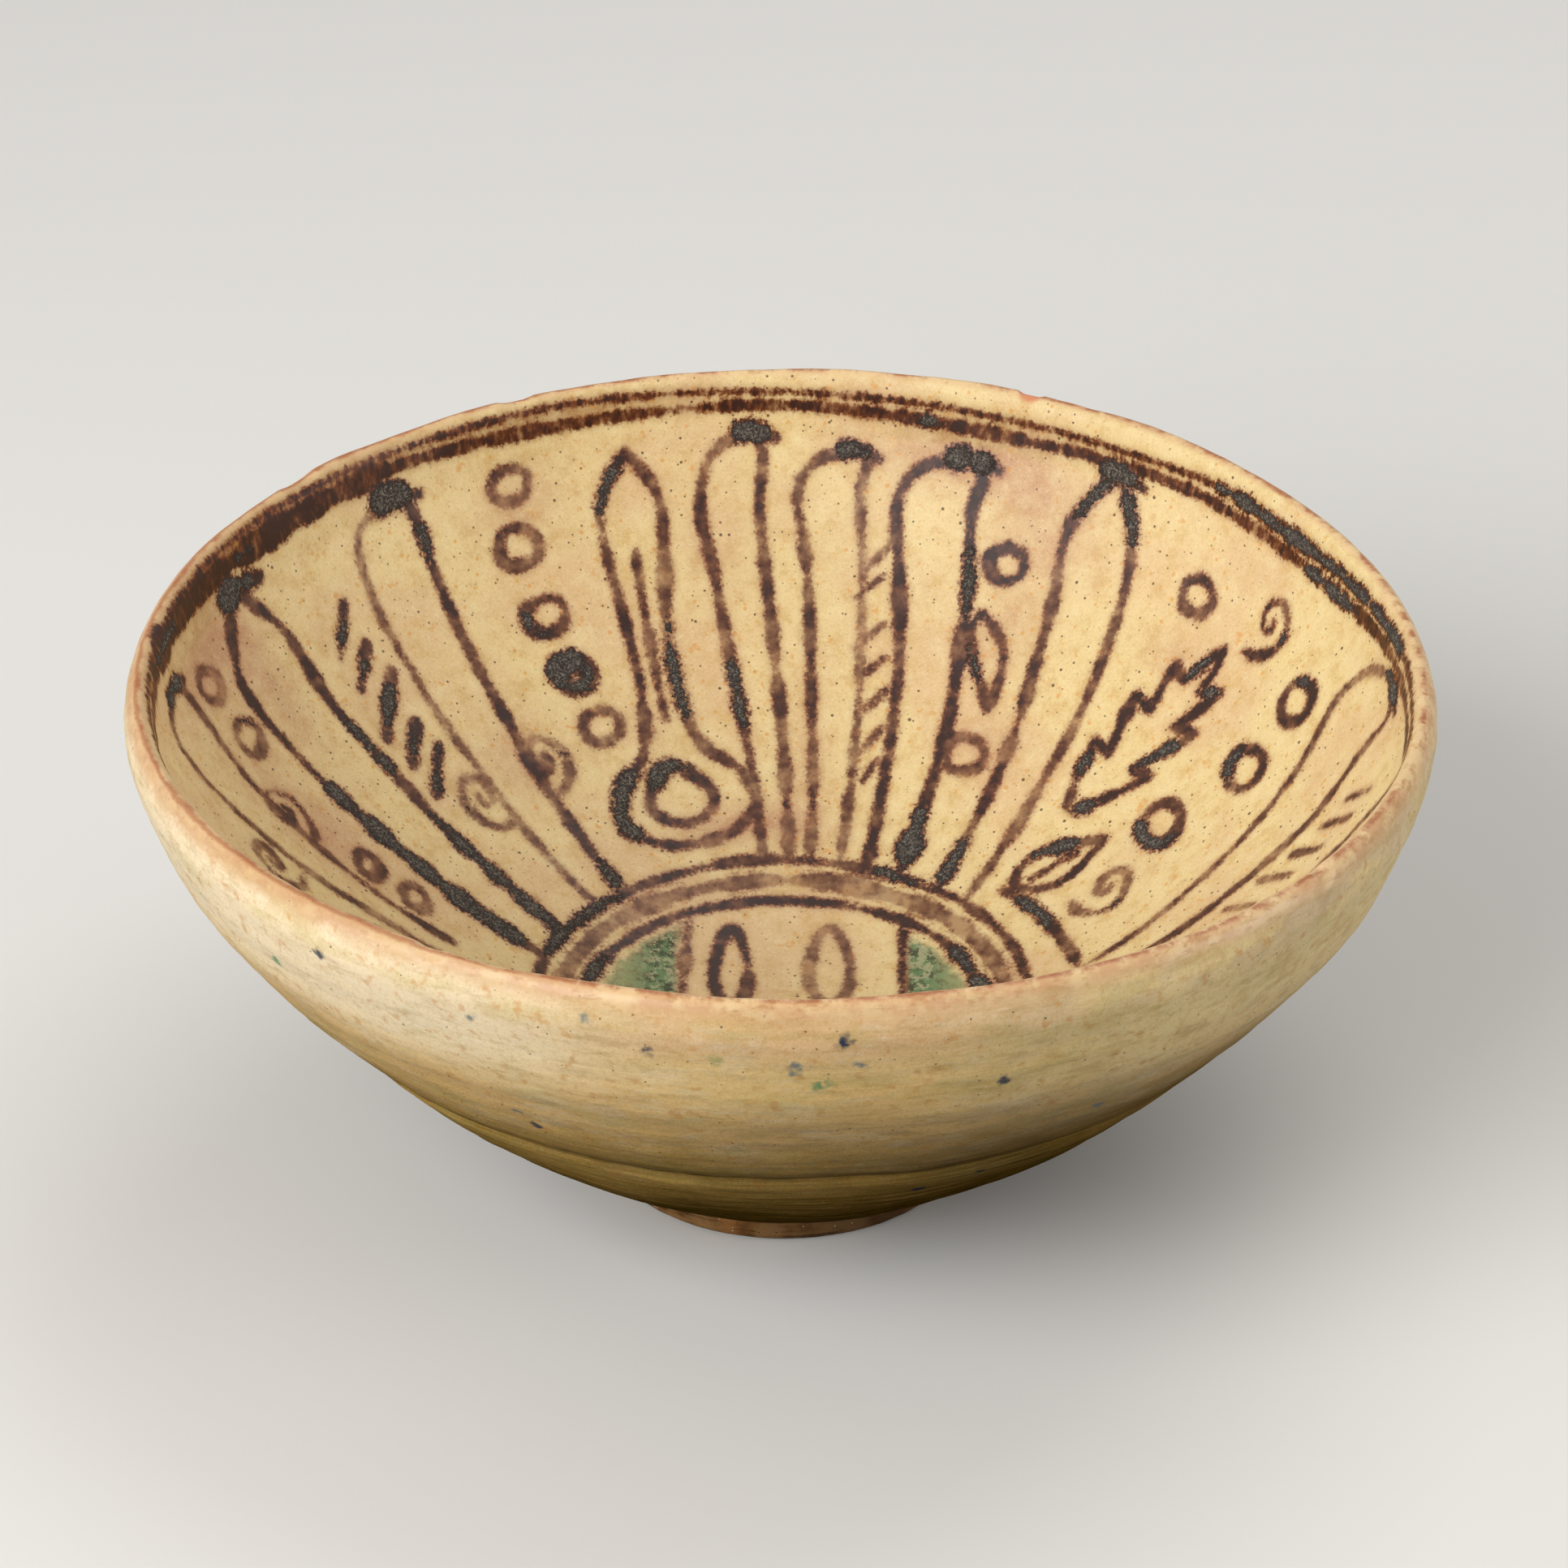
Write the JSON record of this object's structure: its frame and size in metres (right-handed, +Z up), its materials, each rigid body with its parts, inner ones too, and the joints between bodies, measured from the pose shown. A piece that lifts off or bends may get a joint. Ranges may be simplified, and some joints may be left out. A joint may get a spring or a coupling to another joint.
{
  "type": "footed bowl",
  "caption": "Deep round earthenware bowl on a low foot ring, with flaring walls, a rounded lip, and coats of slip and glaze inside and out.",
  "frame": {"origin": "centre of the circle that the foot ring stands on", "axes": "+Z up along the bowl's axis, from the foot to the mouth; X and Y are any two level directions, and -Y is the side that the picture was taken from"},
  "size_m": [0.2, 0.2, 0.0875],
  "materials": {
    "bare_clay": "fired buff-red earthenware, matte, with soil in its pores",
    "slip": "cream slip, matte",
    "painted_glaze": "yellowish lead glaze over cream slip, with manganese brown and copper green painting",
    "plain_glaze": "olive yellow lead glaze, streaked, with few blue and green specks"
  },
  "bodies": {
    "root": {"bowl_body": "bare_clay", "foot_ring": "bare_clay", "inside_slip": "slip", "outside_slip": "slip", "inside_glaze": "painted_glaze", "outside_glaze": "plain_glaze"}
  },
  "joints": []
}
